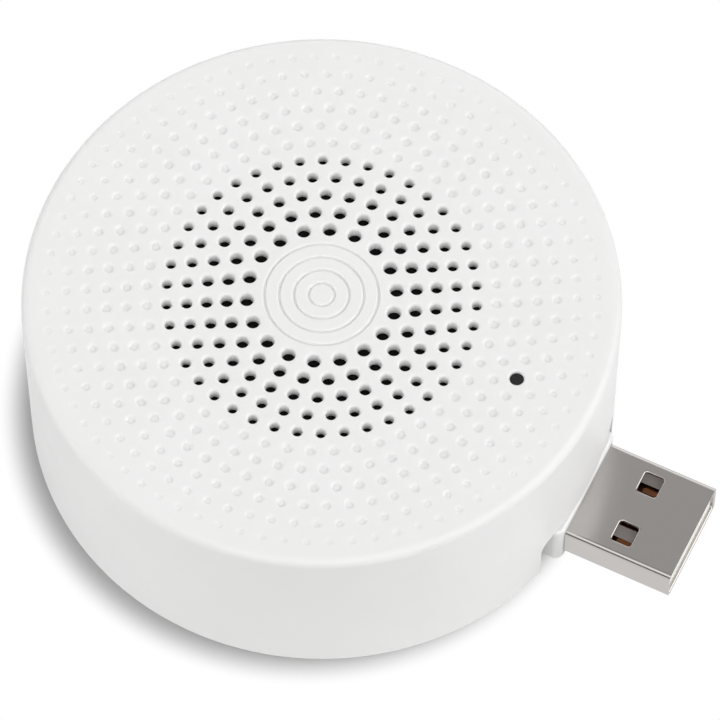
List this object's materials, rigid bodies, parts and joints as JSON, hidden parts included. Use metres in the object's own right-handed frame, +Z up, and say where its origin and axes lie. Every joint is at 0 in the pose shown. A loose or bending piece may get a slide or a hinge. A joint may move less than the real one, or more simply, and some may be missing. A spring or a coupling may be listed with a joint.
{
  "type": "usb doorbell chime",
  "caption": "Round white chime for a wireless doorbell, with a perforated top over a loudspeaker and a USB plug low on its side.",
  "frame": {"origin": "centre of the flat underside", "axes": "+X along the plug, out through its tip, and +Z up through the grille"},
  "size_m": [0.0752, 0.063, 0.023],
  "materials": {
    "housing_white": "fine satin moulded white",
    "black_cloth": "woven dust cloth",
    "black_foam": "soft closed-cell foam",
    "smoked_lens": "smoked and glossy",
    "led_white": "clear lamp body",
    "black_steel": "black coated pressing",
    "zinc_steel": "zinc plated",
    "magnet_metal": "nickel plated magnet",
    "copper": "lacquered copper winding",
    "black_paper": "pressed paper",
    "brown_board": "paper laminate",
    "solder": "bright solder",
    "connector_white": "off-white moulded",
    "wire_red": "insulated wire",
    "wire_black": "insulated wire",
    "green_board": "solder mask",
    "chip_black": "moulded package",
    "ferrite": "sintered ferrite",
    "aluminium_can": "drawn can",
    "plug_steel": "nickel plated sheet, lightly brushed",
    "insulator_cream": "cream moulded",
    "contact_gold": "gold flashed contacts"
  },
  "bodies": {
    "root": {"housing": "housing_white", "base_cover": "housing_white", "grille_cloth": "black_cloth", "speaker_gasket": "black_foam", "light_pipe": "smoked_lens", "status_led": "led_white", "speaker_basket": "black_steel", "yoke": "zinc_steel", "magnet": "magnet_metal", "pole_plate": "zinc_steel", "voice_coil": "copper", "speaker_cone": "black_paper", "dust_cap": "black_paper", "terminal_board": "brown_board", "speaker_terminals": "solder", "speaker_connector": "connector_white", "speaker_wire_red": "wire_red", "speaker_wire_black": "wire_black", "circuit_board": "green_board", "processor": "chip_black", "sound_memory": "chip_black", "audio_amplifier": "chip_black", "voltage_regulator": "chip_black", "crystal": "zinc_steel", "chip_antenna": "connector_white", "radio_board": "green_board", "radio_shield": "zinc_steel", "choke": "ferrite", "capacitors": "aluminium_can", "chip_resistors": "chip_black", "usb_shell": "plug_steel", "usb_insulator": "insulator_cream", "usb_contacts": "contact_gold", "base_screws": "zinc_steel", "board_screws": "zinc_steel", "speaker_screws": "zinc_steel"}
  },
  "joints": []
}
